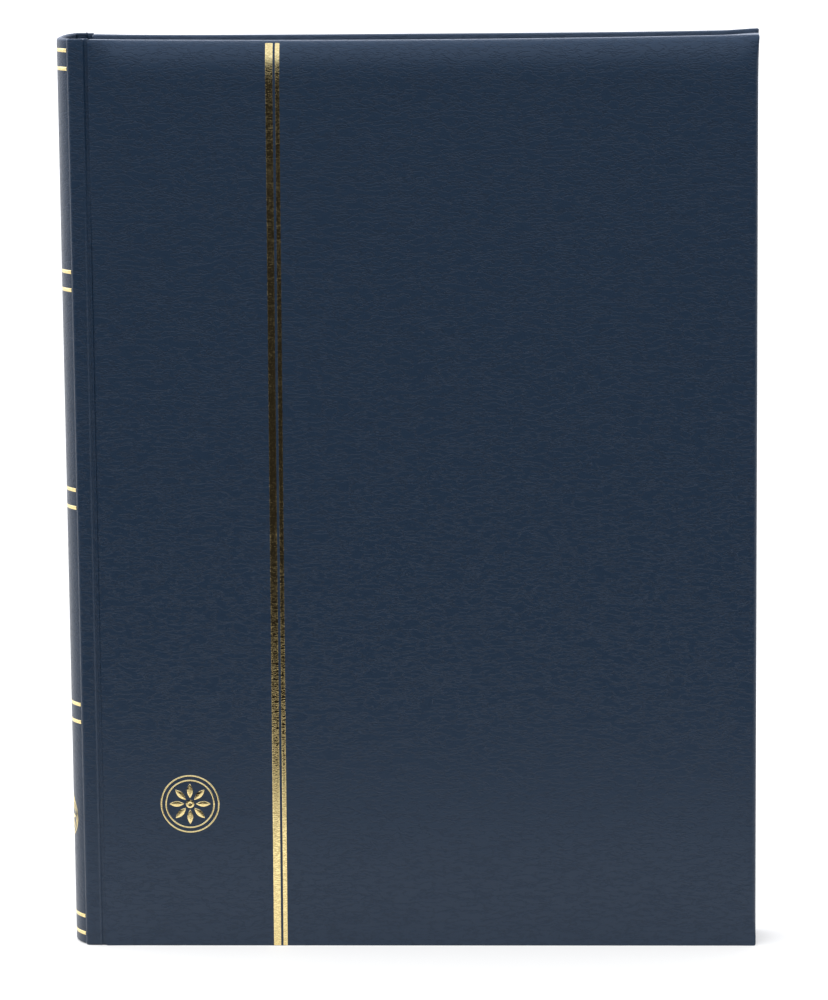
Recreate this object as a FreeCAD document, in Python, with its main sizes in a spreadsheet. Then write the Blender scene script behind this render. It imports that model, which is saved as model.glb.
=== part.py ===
"""Stamp album: a case-bound A4 stock book with padded covers and eight leaves.

Frame: millimetres, +Z up the height of the album, +X from the spine towards the
fore-edge, -Y out of the front cover. The origin is at the middle of the bottom edge.
The album is drawn closed and standing. Each cover turns about the crease beside the
spine, and the leaves fan out from their back edges.
"""
import FreeCAD, Part
import math
import os

import Sketcher

Vector = FreeCAD.Vector

# ---------------------------------------------------------------- driving dimensions
DIMENSIONS = {
    # whole album
    "album_width": 230.0,          # outermost point of the spine to the fore-edge
    "album_height": 305.0,
    # one cover, from the outside in
    "covering_thick": 0.5,         # leatherette
    "padding_thick": 2.7,          # foam
    "board_thick": 2.0,            # greyboard
    "endpaper_thick": 0.2,
    "cover_round": 3.0,            # rounding of the padded outer edge
    "turn_in": 15.0,               # leatherette folded onto the inside of the board
    "endpaper_margin": 4.0,        # edge of the cover to the edge of the endpaper
    # spine and joints: places along X are measured from the outermost point
    "spine_sagitta": 4.2,          # how far the spine bulges past its creases
    "spine_shoulder": 1.7,         # crease to the plane of the cover's outer face
    "stiffener_thick": 0.8,
    "stiffener_short": 3.0,        # degrees by which it stops short of each crease
    "cover_start": 11.0,           # spine-side edge of a covered board
    "joint_outset": 0.2,           # flat of the joint to the plane of the outer face
    "groove_width": 2.0,
    "groove_depth": 3.0,
    "hinge_inset_x": 0.6,          # crease to hinge axis
    "hinge_inset_y": 0.6,          # plane of the outer face to hinge axis
    "liner_thick": 0.15,
    "liner_lap": 13.0,             # joint liner on the inner face of a cover
    # block of leaves
    "block_clearance": 0.3,        # block of leaves to the inner face of a cover
    "leaf_pitch": 1.2,
    "card_thick": 0.7,
    "linen_thick": 0.1,
    "linen_lap": 8.0,              # linen glued on the card
    "stub_length": 3.0,            # solid back of the folded linen
    "stub_gap": 0.1,               # between the backs of neighbouring leaves
    "leaf_inset_z": 4.0,           # leaf to the cover's head or tail
    "leaf_inset_x": 6.0,           # leaf to the cover's fore-edge
    "lining_thick": 0.4,
    "lining_inset_z": 12.0,
    # clear pocket strips
    "strip_thick": 0.08,
    "strip_height": 22.0,
    "strip_tail_margin": 8.0,
    "strip_head_margin": 19.0,
    "strip_gutter": 2.0,           # linen to strip
    "strip_fore_margin": 3.0,
    # glassine interleaves
    "interleaf_thick": 0.05,
    "interleaf_lap": 6.0,          # glued on the linen
    "interleaf_inset": 2.0,        # shorter than the card on its three free sides
    # gold foil
    "foil_thick": 0.05,
    "stripe_start": 68.6,          # outermost point of the spine to the wide stripe
    "stripe_wide": 2.5,
    "stripe_gap": 0.7,
    "stripe_narrow": 1.5,
    "emblem_from_spine": 40.4,
    "emblem_from_tail": 49.0,
    "emblem_diameter": 19.8,
    "spine_emblem_diameter": 14.5,
    "band_width": 1.3,
    "band_spacing": 6.0,           # between the two lines of a pair
    "band_margin": 6.85,           # middle of an end pair to the head or tail
}
LEAF_COUNT = 8
STRIP_COUNT = 9
BAND_PAIRS = 5
PETAL_COUNT = 8
FRONT = -1
BACK = 1

# The rosette's drawing, as shares of its radius.
RING_LINE = 0.05
INNER_RING = 0.84
PETAL_ROOT = 0.2
PETAL_TIP = 0.7
PETAL_HALF_WIDTH = 0.1

doc = FreeCAD.newDocument("stamp_album")
sheet = doc.addObject("Spreadsheet::Sheet", "Sizes")
for row, (alias, value) in enumerate(DIMENSIONS.items(), start=1):
    sheet.set(f"A{row}", alias.replace("_", " "))
    sheet.set(f"B{row}", str(value))
    sheet.setAlias(f"B{row}", alias)
doc.recompute()


def size(alias):
    """A driving dimension, read back from the sheet."""
    return float(sheet.get(alias))


def cell(text):
    """A formula: every driving dimension named in the text becomes its cell."""
    words = text.replace("(", "( ").replace(")", " )").split()
    return "(" + " ".join(f"Sizes.{w}" if w in DIMENSIONS else w for w in words) + ")"


# ------------------------------------------------ places bound to the sheet, as formulas
BLOCK_HALF = cell(f"{LEAF_COUNT / 2} * leaf_pitch")
INNER_FACE = cell(f"{BLOCK_HALF} + block_clearance")
TURN_IN_FACE = cell(f"{INNER_FACE} + endpaper_thick")
BOARD_INNER = cell(f"{TURN_IN_FACE} + covering_thick")
BOARD_OUTER = cell(f"{BOARD_INNER} + board_thick")
PADDING_OUTER = cell(f"{BOARD_OUTER} + padding_thick")
OUTER_FACE = cell(f"{PADDING_OUTER} + covering_thick")
SPINE_X = cell("0 - album_width / 2")
FORE_X = cell("album_width / 2")
COVER_X = cell(f"{SPINE_X} + cover_start")
CARD_X = cell(f"{COVER_X} + stub_length")
LINEN_END_X = cell(f"{CARD_X} + linen_lap")
CARD_END_X = cell(f"{FORE_X} - leaf_inset_x")
CARD_TAIL = cell("leaf_inset_z")
CARD_HEAD = cell("album_height - leaf_inset_z")
STRIP_PITCH = cell(f"( {CARD_HEAD} - {CARD_TAIL} - strip_tail_margin - strip_head_margin"
                   f" - strip_height ) / {STRIP_COUNT - 1}")

# ------------------------------------------------ the same places, as numbers for outlines
spine_x = -size("album_width") / 2
cover_x = spine_x + size("cover_start")
card_x = cover_x + size("stub_length")
inner_face = LEAF_COUNT / 2 * size("leaf_pitch") + size("block_clearance")
outer_face = (inner_face + size("endpaper_thick") + 2 * size("covering_thick")
              + size("board_thick") + size("padding_thick"))
crease_x = spine_x + size("spine_sagitta")
crease_y = outer_face - size("spine_shoulder")
spine_radius = (crease_y ** 2 + size("spine_sagitta") ** 2) / (2 * size("spine_sagitta"))
spine_centre = spine_x + spine_radius
spine_half_angle = math.degrees(math.asin(crease_y / spine_radius))

nodes = {}


# ---------------------------------------------------------------- drawing helpers
def keep(name, piece):
    """Make an object a sub-part of the album, under the name of its file."""
    piece.Label = name
    nodes[name] = piece
    return piece


def place(piece, x, y, z):
    """Bind an object's position to three formulas."""
    piece.setExpression(".Placement.Base.x", x)
    piece.setExpression(".Placement.Base.y", y)
    piece.setExpression(".Placement.Base.z", z)


def slab(name, x0, x1, y0, y1, z0, z1):
    """A box between pairs of formulas."""
    box = doc.addObject("Part::Box", name)
    box.setExpression("Length", f"{x1} - {x0}")
    box.setExpression("Width", f"{y1} - {y0}")
    box.setExpression("Height", f"{z1} - {z0}")
    place(box, x0, y0, z0)
    return box


def half_slab(name, side, x0, x1, near, far, z0, z1):
    """A box on the front or back half: near and far are distances from the middle."""
    if side == FRONT:
        return slab(name, x0, x1, f"(0 - {far})", f"(0 - {near})", z0, z1)
    return slab(name, x0, x1, near, far, z0, z1)


def cut(name, base, tool):
    """The base without the tool."""
    result = doc.addObject("Part::Cut", name)
    result.Base = base
    result.Tool = tool
    return result


def join(name, pieces):
    """Several shapes that touch, as one solid."""
    result = doc.addObject("Part::MultiFuse", name)
    result.Shapes = pieces
    return result


def gather(name, pieces):
    """Several separate solids in one node."""
    result = doc.addObject("Part::Compound", name)
    result.Links = pieces
    return result


def solid_of(name, shape):
    """A node whose shape is worked out directly."""
    result = doc.addObject("Part::Feature", name)
    result.Shape = shape
    return result


def sketch_on(body, role):
    """An empty sketch on one of the body's own origin planes."""
    planes = [plane for plane in body.Origin.OriginFeatures if plane.Role == role]
    sketch = body.newObject("Sketcher::SketchObject", body.Name + "_outline")
    sketch.AttachmentSupport = [(planes[0], "")]
    sketch.MapMode = "FlatFace"
    return sketch


def pad_of(body, sketch, length, reverse=False):
    """A pad of the sketch, of a length given by a formula."""
    pad = body.newObject("PartDesign::Pad", body.Name + "_pad")
    pad.Profile = sketch
    pad.Reversed = reverse
    pad.setExpression("Length", length)
    return pad


def upright(name, outline, length, tail="0"):
    """A body with a constant plan outline of straight lines, padded upwards."""
    body = doc.addObject("PartDesign::Body", name)
    sketch = sketch_on(body, "XY_Plane")
    for start, end in zip(outline, outline[1:] + outline[:1]):
        sketch.addGeometry(Part.LineSegment(Vector(*start, 0), Vector(*end, 0)), False)
    pad_of(body, sketch, length)
    body.setExpression(".Placement.Base.z", tail)
    return body


def rectangle_sketch(body, role, width, height):
    """A constrained rectangle from the sketch's origin, with both sizes as formulas."""
    sketch = sketch_on(body, role)
    corners = [(0, 0), (1, 0), (1, 1), (0, 1)]
    for start, end in zip(corners, corners[1:] + corners[:1]):
        sketch.addGeometry(Part.LineSegment(Vector(*start, 0), Vector(*end, 0)), False)
    for edge in range(4):
        level = "Horizontal" if edge % 2 == 0 else "Vertical"
        sketch.addConstraint(Sketcher.Constraint("Coincident", edge, 2, (edge + 1) % 4, 1))
        sketch.addConstraint(Sketcher.Constraint(level, edge))
    sketch.addConstraint(Sketcher.Constraint("Coincident", 0, 1, -1, 1))
    wide = sketch.addConstraint(Sketcher.Constraint("DistanceX", 0, 1, 0, 2, 1.0))
    tall = sketch.addConstraint(Sketcher.Constraint("DistanceY", 1, 1, 1, 2, 1.0))
    sketch.setExpression(f"Constraints[{wide}]", width)
    sketch.setExpression(f"Constraints[{tall}]", height)
    return sketch


def offset_path(path, distance):
    """The path moved to its left by a distance, with mitred corners."""
    normals = []
    for (x0, y0), (x1, y1) in zip(path, path[1:]):
        run = math.hypot(x1 - x0, y1 - y0)
        normals.append(((y0 - y1) / run, (x1 - x0) / run))
    moved = []
    for (x, y), before, after in zip(path, normals[:1] + normals, normals + normals[-1:]):
        spread = 1 + before[0] * after[0] + before[1] * after[1]
        moved.append((x + distance * (before[0] + after[0]) / spread,
                      y + distance * (before[1] + after[1]) / spread))
    return moved


def on_side(side, outline):
    """An outline drawn for the front half, or its mirror image for the back half."""
    return outline if side == FRONT else [(x, -y) for x, y in outline]


# ---------------------------------------------------------------- covers
def padded_block(name, side, inset, near, far):
    """A block between two distances from the middle, its outward edges rounded."""
    width = cell(f"{FORE_X} - {COVER_X} - 2 * {inset}")
    body = doc.addObject("PartDesign::Body", name)
    sketch = rectangle_sketch(body, "XZ_Plane", width, cell(f"album_height - 2 * {inset}"))
    pad = pad_of(body, sketch, f"{far} - {near}", reverse=side == BACK)
    place(body, cell(f"{COVER_X} + {inset}"), f"{side} * {near}", inset)
    doc.recompute()
    faces = pad.Shape.Faces
    outward = max(range(len(faces)), key=lambda i: side * faces[i].CenterOfMass.y)
    rounding = body.newObject("PartDesign::Fillet", name + "_round")
    rounding.Base = (pad, [f"Face{outward + 1}"])
    depth = cell(f"{far} - {near}")
    rounding.setExpression("Radius", f"min({cell(f'cover_round - {inset}')}; 0.95 * {depth})")
    return body


def cover(word, side):
    """Board, padding, covering and endpaper of one cover."""
    skin = cell("covering_thick")
    board_x0 = cell(f"{COVER_X} + {skin}")
    board_x1 = cell(f"{FORE_X} - {skin}")
    board = half_slab(f"{word}_board", side, board_x0, board_x1, BOARD_INNER, BOARD_OUTER,
                      skin, cell(f"album_height - {skin}"))
    padding = padded_block(f"{word}_padding", side, skin, BOARD_OUTER, PADDING_OUTER)
    window = half_slab(f"{word}_window", side, board_x0, cell(f"{FORE_X} - turn_in"),
                       TURN_IN_FACE, BOARD_INNER, cell("turn_in"),
                       cell("album_height - turn_in"))
    wrap = padded_block(f"{word}_wrap", side, cell("0"), TURN_IN_FACE, OUTER_FACE)
    filling = join(f"{word}_filling", [board, padding, window])
    sheet_layer = half_slab(f"{word}_sheet", side, board_x0,
                            cell(f"{FORE_X} - endpaper_margin"), INNER_FACE, TURN_IN_FACE,
                            cell("endpaper_margin"), cell("album_height - endpaper_margin"))
    keep(f"{word}_board", board)
    keep(f"{word}_padding", padding)
    keep(f"{word}_covering", cut(f"{word}_covering", wrap, filling))
    keep(f"{word}_endpaper", join(f"{word}_endpaper", [window, sheet_layer]))


# ---------------------------------------------------------------- spine and joints
def around_spine(radius, angle, side=FRONT):
    """A point on a circle about the spine's centre, an angle away from its outermost."""
    turn = math.radians(angle)
    return (spine_centre - radius * math.cos(turn), side * radius * math.sin(turn))


def spine_sheet(name, outer, thick, half_angle, length, tail="0"):
    """A curved sheet that follows the round of the spine."""
    inner = outer - thick
    body = doc.addObject("PartDesign::Body", name)
    sketch = sketch_on(body, "XY_Plane")
    ends = {}
    for radius in (outer, inner):
        ends[radius] = [Vector(*around_spine(radius, half_angle, s), 0) for s in (FRONT, BACK)]
        crown = Vector(*around_spine(radius, 0), 0)
        sketch.addGeometry(Part.Arc(ends[radius][0], crown, ends[radius][1]), False)
    for start, end in zip(ends[outer], ends[inner]):
        sketch.addGeometry(Part.LineSegment(start, end), False)
    pad_of(body, sketch, length)
    body.setExpression(".Placement.Base.z", tail)
    return body


def joint_path():
    """Outer surface of the front joint, from the spine's crease to the cover."""
    flat_y = -(outer_face - size("joint_outset"))
    floor_y = -(outer_face - size("groove_depth"))
    rise = size("spine_shoulder") - size("joint_outset")
    return [(crease_x, -crease_y),
            (crease_x + rise, flat_y),
            (cover_x - size("groove_width"), flat_y),
            (cover_x - size("groove_width") / 2, floor_y),
            (cover_x, floor_y)]


def joint(word, side):
    """The leatherette joint and the cloth liner behind it."""
    skin = size("covering_thick")
    cloth = size("liner_thick")
    outer = joint_path()
    inner = offset_path(outer, skin)
    inner[0] = around_spine(spine_radius - skin, spine_half_angle)
    strip = upright(f"{word}_joint", on_side(side, outer + inner[::-1]), cell("album_height"))
    keep(f"{word}_joint", strip)
    wall_x = cover_x - cloth
    lap_y = -inner_face + cloth
    behind = offset_path(outer, skin + cloth)
    liner = (inner[1:] + [(cover_x, -inner_face), (cover_x + size("liner_lap"), -inner_face),
                          (cover_x + size("liner_lap"), lap_y), (wall_x, lap_y),
                          (wall_x, behind[-1][1])] + behind[1:-1][::-1])
    body = upright(f"{word}_joint_liner", on_side(side, liner),
                   cell("album_height - 2 * endpaper_margin"), cell("endpaper_margin"))
    keep(f"{word}_joint_liner", body)


def rosette(diameter, thick):
    """A flat gold rosette about the origin, facing -Y: two rings, petals and a dot."""
    radius = diameter / 2
    line = RING_LINE * radius
    petal_root = PETAL_ROOT * radius
    petal_tip = PETAL_TIP * radius
    petal_half_width = PETAL_HALF_WIDTH * radius
    discs = []
    for outer in (radius, INNER_RING * radius):
        ring = Part.makeCylinder(outer, thick)
        discs.append(ring.cut(Part.makeCylinder(outer - line, thick)))
    discs.append(Part.makeCylinder(petal_root - line, thick))
    middle = (petal_root + petal_tip) / 2
    root = Vector(petal_root, 0, 0)
    tip = Vector(petal_tip, 0, 0)
    sides = [Part.Arc(root, Vector(middle, -petal_half_width, 0), tip).toShape(),
             Part.Arc(tip, Vector(middle, petal_half_width, 0), root).toShape()]
    petal = Part.Face(Part.Wire(sides)).extrude(Vector(0, 0, thick))
    for turn in range(PETAL_COUNT):
        turned = petal.copy()
        turned.rotate(Vector(), Vector(0, 0, 1), turn * 360 / PETAL_COUNT)
        discs.append(turned)
    for disc in discs:
        disc.rotate(Vector(), Vector(1, 0, 0), 90)
    return discs


def spine():
    """Covering, stiffener, gold bands and emblem of the spine."""
    skin = size("covering_thick")
    foil = size("foil_thick")
    keep("spine_covering", spine_sheet("spine_covering", spine_radius, skin,
                                       spine_half_angle, cell("album_height")))
    keep("spine_stiffener", spine_sheet("spine_stiffener", spine_radius - skin,
                                        size("stiffener_thick"),
                                        spine_half_angle - size("stiffener_short"),
                                        cell("album_height - 2 * covering_thick"),
                                        cell("covering_thick")))
    bands = []
    pitch = f"( album_height - 2 * band_margin ) / {BAND_PAIRS - 1}"
    for pair in range(BAND_PAIRS):
        for edge in (-1, 1):
            tail = cell(f"band_margin + {pair} * {pitch} + {edge / 2} * band_spacing"
                        " - band_width / 2")
            bands.append(spine_sheet(f"band_{len(bands) + 1}", spine_radius + foil, foil,
                                     spine_half_angle, cell("band_width"), tail))
    keep("spine_gold_bands", gather("spine_gold_bands", bands))

    lowest_pair = size("band_margin")
    band_pitch = (size("album_height") - 2 * lowest_pair) / (BAND_PAIRS - 1)
    middle_z = lowest_pair + band_pitch / 2
    depth = 2 * size("spine_sagitta")
    leaf_of_foil = Part.makeCylinder(spine_radius + foil, size("album_height"))
    leaf_of_foil = leaf_of_foil.cut(Part.makeCylinder(spine_radius, size("album_height")))
    leaf_of_foil.translate(Vector(spine_centre, 0, 0))
    pieces = []
    for disc in rosette(size("spine_emblem_diameter"), depth):
        disc.rotate(Vector(), Vector(0, 0, 1), -90)
        disc.translate(Vector(spine_x + depth / 2, 0, middle_z))
        pieces.extend(disc.common(leaf_of_foil).Solids)
    keep("spine_emblem", solid_of("spine_emblem", Part.makeCompound(pieces)))


# ---------------------------------------------------------------- gold on the front cover
def front_gold():
    """The two upright stripes and the ornament of the front cover."""
    wide_x = cell(f"{SPINE_X} + stripe_start")
    narrow_x = cell(f"{wide_x} + stripe_wide + stripe_gap")
    foil_face = cell(f"{OUTER_FACE} + foil_thick")
    tail = cell("cover_round")
    head = cell("album_height - cover_round")
    wide = half_slab("stripe_wide", FRONT, wide_x, cell(f"{wide_x} + stripe_wide"),
                     OUTER_FACE, foil_face, tail, head)
    narrow = half_slab("stripe_narrow", FRONT, narrow_x, cell(f"{narrow_x} + stripe_narrow"),
                       OUTER_FACE, foil_face, tail, head)
    keep("front_gold_stripes", gather("front_gold_stripes", [wide, narrow]))
    discs = rosette(size("emblem_diameter"), size("foil_thick"))
    emblem = keep("front_emblem", solid_of("front_emblem", Part.makeCompound(discs)))
    place(emblem, cell(f"{SPINE_X} + emblem_from_spine"), f"0 - {OUTER_FACE}",
          cell("emblem_from_tail"))


# ---------------------------------------------------------------- leaves
def linen_outline():
    """Plan of the folded linen of a leaf whose middle plane is at Y = 0."""
    card_half = size("card_thick") / 2
    flap_half = card_half + size("linen_thick")
    stub_half = (size("leaf_pitch") - size("stub_gap")) / 2
    taper_x = card_x - size("stub_length") / 3
    end_x = card_x + size("linen_lap")
    upper = [(end_x, card_half), (end_x, flap_half), (card_x, flap_half),
             (taper_x, stub_half), (cover_x, stub_half)]
    lower = [(x, -y) for x, y in upper][::-1]
    return lower + [(card_x, -card_half), (card_x, card_half)] + upper


def pocket_strips(name, side, middle):
    """The nine clear strips on one face of a leaf."""
    strips = []
    for step in range(STRIP_COUNT):
        tail = cell(f"{CARD_TAIL} + strip_tail_margin + {step} * {STRIP_PITCH}")
        near = cell(f"{middle} + {side} * card_thick / 2")
        far = cell(f"{near} + {side} * strip_thick")
        y0, y1 = (far, near) if side == FRONT else (near, far)
        strips.append(slab(f"{name}_{step + 1}", cell(f"{LINEN_END_X} + strip_gutter"),
                           cell(f"{CARD_END_X} - strip_fore_margin"), y0, y1,
                           tail, cell(f"{tail} + strip_height")))
    return gather(name, strips)


def leaf(number):
    """One leaf: card, folded linen, strips on both faces and its interleaf."""
    name = f"leaf_{number}"
    middle = cell(f"{number - (LEAF_COUNT + 1) / 2} * leaf_pitch")
    keep(f"{name}_card", slab(f"{name}_card", CARD_X, CARD_END_X,
                              cell(f"{middle} - card_thick / 2"),
                              cell(f"{middle} + card_thick / 2"), CARD_TAIL, CARD_HEAD))
    linen = upright(f"{name}_linen", linen_outline(), cell(f"{CARD_HEAD} - {CARD_TAIL}"),
                    CARD_TAIL)
    linen.setExpression(".Placement.Base.y", middle)
    keep(f"{name}_linen", linen)
    keep(f"{name}_front_strips", pocket_strips(f"{name}_front_strips", FRONT, middle))
    keep(f"{name}_back_strips", pocket_strips(f"{name}_back_strips", BACK, middle))
    glued = cell(f"{middle} - card_thick / 2 - linen_thick")
    keep(f"{name}_interleaf", slab(f"{name}_interleaf",
                                   cell(f"{LINEN_END_X} - interleaf_lap"),
                                   cell(f"{CARD_END_X} - interleaf_inset"),
                                   cell(f"{glued} - interleaf_thick"), glued,
                                   cell(f"{CARD_TAIL} + interleaf_inset"),
                                   cell(f"{CARD_HEAD} - interleaf_inset")))


def block_lining():
    """The gauze pasted down the backs of the folded linens."""
    edge = cell(f"{BLOCK_HALF} - stub_gap / 2")
    keep("block_lining", slab("block_lining", cell(f"{COVER_X} - lining_thick"), COVER_X,
                              cell(f"0 - {edge}"), edge, cell("lining_inset_z"),
                              cell("album_height - lining_inset_z")))


# ---------------------------------------------------------------- the album
cover("front", FRONT)
cover("back", BACK)
joint("front", FRONT)
joint("back", BACK)
spine()
front_gold()
block_lining()
for leaf_number in range(1, LEAF_COUNT + 1):
    leaf(leaf_number)
doc.recompute()

failed = [piece.Name for piece in doc.Objects if {"Invalid", "Error"} & set(piece.State)]
if failed:
    raise RuntimeError(f"these objects did not build: {failed}")
for name, piece in nodes.items():
    if piece.Shape.isNull() or not piece.Shape.isValid():
        raise RuntimeError(f"{name} has no valid shape")

os.makedirs("parts", exist_ok=True)
for name, piece in nodes.items():
    piece.Shape.exportStep(f"parts/{name}.step")
print(len(nodes), "nodes; hinge axes at x",
      round(crease_x + size("hinge_inset_x"), 3), "y",
      round(outer_face - size("hinge_inset_y"), 3), "and x", round(cover_x, 3))
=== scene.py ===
"""Looks of the stamp album: padded leatherette covers, gold foil and the leaves inside.

Metres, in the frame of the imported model: +X from the spine to the fore-edge, -Y out of
the front cover, +Z up. Sizes below are in millimetres and are turned into metres by MM.
"""
import math

import bpy
import numpy as np
from mathutils import Matrix, Vector


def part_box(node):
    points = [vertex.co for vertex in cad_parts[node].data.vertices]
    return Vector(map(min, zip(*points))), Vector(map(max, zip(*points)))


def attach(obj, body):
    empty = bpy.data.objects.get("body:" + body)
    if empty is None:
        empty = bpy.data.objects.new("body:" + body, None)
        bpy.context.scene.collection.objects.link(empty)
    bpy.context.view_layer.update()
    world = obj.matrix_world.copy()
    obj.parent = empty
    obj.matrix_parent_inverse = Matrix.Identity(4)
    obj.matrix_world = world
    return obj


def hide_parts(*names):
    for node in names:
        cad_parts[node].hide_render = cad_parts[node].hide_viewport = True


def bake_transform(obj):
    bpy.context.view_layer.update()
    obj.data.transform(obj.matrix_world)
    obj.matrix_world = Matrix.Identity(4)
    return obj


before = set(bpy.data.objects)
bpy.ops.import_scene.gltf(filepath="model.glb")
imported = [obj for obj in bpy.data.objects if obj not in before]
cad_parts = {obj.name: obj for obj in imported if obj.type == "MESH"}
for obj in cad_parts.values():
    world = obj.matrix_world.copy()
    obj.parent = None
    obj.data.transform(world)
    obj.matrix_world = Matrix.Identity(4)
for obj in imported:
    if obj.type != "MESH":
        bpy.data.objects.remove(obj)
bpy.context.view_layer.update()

MM = 0.001
FRONT = -1
BACK = 1
LEAF_COUNT = 8

# ------------------------------------------------------------ sizes read from the frame
cover_low, cover_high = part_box("front_covering")
board_low, board_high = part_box("front_board")
joint_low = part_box("front_joint")[0]
spine_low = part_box("spine_covering")[0]
stripe_low, stripe_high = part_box("front_gold_stripes")
paper_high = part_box("front_endpaper")[1]

HEIGHT = cover_high.z
HINGE_EDGE = cover_low.x
FORE_EDGE = cover_high.x
FACE_Y = -cover_low.y
BOARD_FACE_Y = -board_low.y
BOARD_BACK_Y = -board_high.y
INNER_Y = -paper_high.y
CREASE_X = joint_low.x
CREASE_Y = -spine_low.y
SPINE_X = spine_low.x
SAGITTA = CREASE_X - SPINE_X
SPINE_RADIUS = (CREASE_Y ** 2 + SAGITTA ** 2) / (2 * SAGITTA)
SPINE_CENTRE_X = SPINE_X + SPINE_RADIUS
SPINE_HALF_ANGLE = math.asin(CREASE_Y / SPINE_RADIUS)

# ------------------------------------------------------------ sizes of the looks
LEATHER_THICK = 0.5 * MM
PAD_REACH = 14.0 * MM            # how far the soft rounding reaches in from the edge
PAD_SOFTNESS = 2.0               # 2 is an ellipse, more is squarer
EDGE_Y = 7.2 * MM                # where the rounding runs into the upright edge
HINGE_REACH = 0.4                # shares of that reach at the other three edges
FOOT_REACH = 0.05
FORE_REACH = 0.12
HINGE_PRESS = 0.75               # shares of the rounding's depth taken away there
FOOT_PRESS = 0.95
FORE_PRESS = 0.50
FOOT_FADE = 9.0 * MM             # how far in from the edge that flattening runs
HINGE_FADE = 12.0 * MM
FORE_FADE = 8.0 * MM
HEAD_ZONE = 0.07                 # share of the height in which the head is uneven
CORNER_SPREAD = 0.9 * MM         # how far the folded corners at the head stand out
FRONT_SPREAD = 0.45              # the front cover's share of that
CORNER_ZONE = 12.0 * MM
FOLD_RISE = 0.5 * MM
FOLD_Y = 7.5 * MM
FOLD_FADE = 1.5 * MM
TURN_IN = 15.0 * MM
CORNER_RADIUS = 0.6 * MM
RIPPLE = 0.05 * MM
FOIL_PROUD = 0.11 * MM
FOIL_THICK = 0.08 * MM
STRIPE_LEAN = 1.4 * MM           # foot to head, towards the fore-edge
STRIPE_WIDE = 2.5 * MM
STRIPE_NARROW = 1.5 * MM
FOIL_SUNK = -0.02 * MM           # the foil's edges, pressed just under the leather
STRIPE_ROLL = 0.24 * MM
RING_LINE = 0.05                 # the rosette's drawing, as shares of its radius
INNER_RING = 0.84
PETAL_ROOT = 0.2
PETAL_TIP = 0.7
PETAL_HALF_WIDTH = 0.1
PETAL_COUNT = 8
BAND_WIDTH = 1.3 * MM
BAND_SPACING = 6.0 * MM
BAND_MARGIN = 6.85 * MM
BAND_PAIRS = 5
STIFFENER_THICK = 0.8 * MM
GROOVE_DEPTH = 1.1 * MM
GROOVE_RAMP = 1.2 * MM
GROOVE_START = 1.7               # before the hinge edge, counted in ramps
GROOVE_FADE = (0.72, 0.24)       # shares of the height: where it starts, over how much
GROOVE_LOST = 0.9                # share of its depth that is gone at the foot
JOINT_TURN_IN = 3.0 * MM
PASTE_GAP = 0.1 * MM
HEAD_LIFT = 0.8 * MM             # how much higher the spine is at the back cover
CLOTH_THICK = 0.15 * MM
GAUZE_THICK = 0.15 * MM
BOARD_SOFT = 0.15 * MM           # how much the board's edges are softened
BOARD_CORNER = 0.3 * MM
LINER_LAP = 13.0 * MM
LINER_MARGIN = 4.0 * MM
CARD_CORNER = 4.0 * MM


# ------------------------------------------------------------ mesh helpers
def crowded(count, share=0.8):
    """Fractions from 0 to 1, close together at both ends."""
    even = np.linspace(0, 1, count + 1)
    return (1 - share) * even + share * (0.5 - 0.5 * np.cos(math.pi * even))


def grid_faces(rows, columns, start=0):
    """Quads of a grid of points that is numbered row by row."""
    faces = []
    for row in range(rows - 1):
        for column in range(columns - 1):
            corner = start + row * columns + column
            faces.append((corner, corner + 1, corner + columns + 1, corner + columns))
    return faces


def tube_faces(rows, around, capped=False):
    """Quads of closed rows of points, with a flat face over each end if capped."""
    faces = []
    for row in range(rows - 1):
        for step in range(around):
            after = (step + 1) % around
            low, high = row * around, (row + 1) * around
            faces.append((low + step, high + step, high + after, low + after))
    if capped:
        last = (rows - 1) * around
        faces += [tuple(range(around)), tuple(reversed(range(last, last + around)))]
    return faces


def corner_normals(points, faces):
    """Area-weighted normals of the points, and their sum over the surface."""
    normals = np.zeros_like(points)
    for size in sorted({len(face) for face in faces}):
        same = np.array([face for face in faces if len(face) == size])
        across = points[same[:, size // 2]] - points[same[:, 0]]
        along = points[same[:, -1]] - points[same[:, 1]]
        facing = np.cross(across, along)
        for corner in range(size):
            np.add.at(normals, same[:, corner], facing)
    total = normals.sum(axis=0)
    lengths = np.linalg.norm(normals, axis=1, keepdims=True)
    return normals / np.maximum(lengths, 1e-15), total


def facing(points, faces, outward):
    """The faces, turned over if they look away from the outward direction."""
    total = corner_normals(points, faces)[1]
    if float(np.dot(total, outward)) < 0:
        return [tuple(reversed(face)) for face in faces]
    return faces


def thicken(points, faces, thick, outward):
    """An open surface as a closed sheet, with the thickness laid on its inside."""
    points = np.asarray(points, float)
    faces = facing(points, faces, outward)
    inside = points - corner_normals(points, faces)[0] * thick
    count = len(points)
    edges = {(a, b) for face in faces for a, b in zip(face, face[1:] + face[:1])}
    rim = [(b, a, a + count, b + count) for a, b in sorted(edges) if (b, a) not in edges]
    lining = [tuple(corner + count for corner in reversed(face)) for face in faces]
    return np.vstack([points, inside]), faces + lining + rim


def gathered(parts):
    """Several (points, faces) as one."""
    points, faces, count = [], [], 0
    for part_points, part_faces in parts:
        points.append(np.asarray(part_points, float))
        faces.extend(tuple(corner + count for corner in face) for face in part_faces)
        count += len(part_points)
    return np.vstack(points), faces


def mirrored(points, side):
    """A shape drawn for the front half, on that half or on the back half."""
    points = np.array(points, float)
    if side == BACK:
        points[:, 1] *= -1
    return points


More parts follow.
